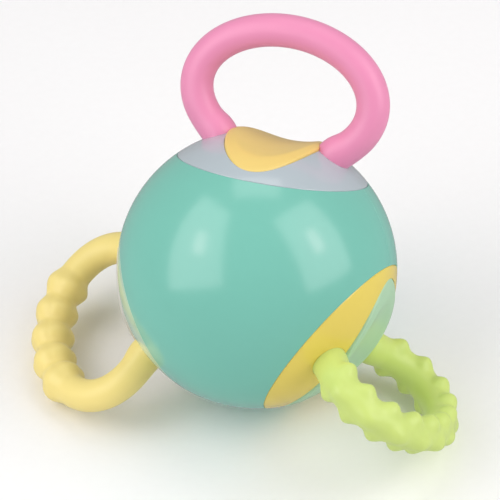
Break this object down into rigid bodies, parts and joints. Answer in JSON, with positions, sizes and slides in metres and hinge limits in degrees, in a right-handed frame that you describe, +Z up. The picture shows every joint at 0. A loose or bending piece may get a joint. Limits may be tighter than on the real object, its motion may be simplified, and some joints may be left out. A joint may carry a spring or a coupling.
{
  "type": "ball teether",
  "caption": "Hollow rattle ball for a baby, with loop handles to grip and chew, one smooth, one studded and one knobbed, each turning on a round cap set into the ball.",
  "frame": {"origin": "on the floor, in the middle of the small round foot that the ball stands on", "axes": "+X to the right and +Y away from the viewer of the picture, +Z up"},
  "size_m": [0.1382, 0.1135, 0.1162],
  "materials": {
    "teal_gloss": "glossy moulded plastic",
    "lavender_gloss": "glossy moulded plastic",
    "warm_yellow_gloss": "glossy moulded plastic",
    "mint_gloss": "glossy moulded plastic",
    "insert_yellow": "satin moulded plastic",
    "insert_mint": "satin moulded plastic",
    "insert_lavender": "satin moulded plastic",
    "pink_rubber": "smooth soft rubber",
    "green_rubber": "soft rubber with studs",
    "yellow_rubber": "soft rubber with broad knobs",
    "inner_white": "plain moulded plastic",
    "bead_white": "smooth",
    "screw_steel": "zinc plated"
  },
  "bodies": {
    "ball": {"front_shell": "teal_gloss", "rear_shell": "teal_gloss", "shell_screw_1": "screw_steel", "shell_screw_2": "screw_steel", "shell_screw_3": "screw_steel", "rattle_bead_1": "bead_white", "rattle_bead_2": "bead_white", "rattle_bead_3": "bead_white", "rattle_bead_4": "bead_white", "rattle_bead_5": "bead_white", "rattle_bead_6": "bead_white"},
    "pink_module": {"pink_loop_handle": "pink_rubber", "pink_cap": "lavender_gloss", "pink_saddle_insert": "insert_yellow", "pink_retainer": "inner_white", "pink_retainer_screw_1": "screw_steel", "pink_retainer_screw_2": "screw_steel"},
    "green_module": {"green_loop_handle": "green_rubber", "green_cap": "warm_yellow_gloss", "green_saddle_insert": "insert_mint", "green_retainer": "inner_white", "green_retainer_screw_1": "screw_steel", "green_retainer_screw_2": "screw_steel"},
    "yellow_module": {"yellow_loop_handle": "yellow_rubber", "yellow_cap": "mint_gloss", "yellow_saddle_insert": "insert_lavender", "yellow_retainer": "inner_white", "yellow_retainer_screw_1": "screw_steel", "yellow_retainer_screw_2": "screw_steel"}
  },
  "joints": [
    {"name": "pink_handle_spin", "type": "hinge", "parent": "ball", "child": "pink_module", "pos_m": [0, 0, 0.04585], "axis": [0.1532, 0.5151, 0.8433], "continuous": true},
    {"name": "green_handle_spin", "type": "hinge", "parent": "ball", "child": "green_module", "pos_m": [0, 0, 0.04585], "axis": [0.7205, -0.591, -0.3627], "continuous": true},
    {"name": "yellow_handle_spin", "type": "hinge", "parent": "ball", "child": "yellow_module", "pos_m": [0, 0, 0.04585], "axis": [-0.8737, 0.0759, -0.4806], "continuous": true}
  ]
}
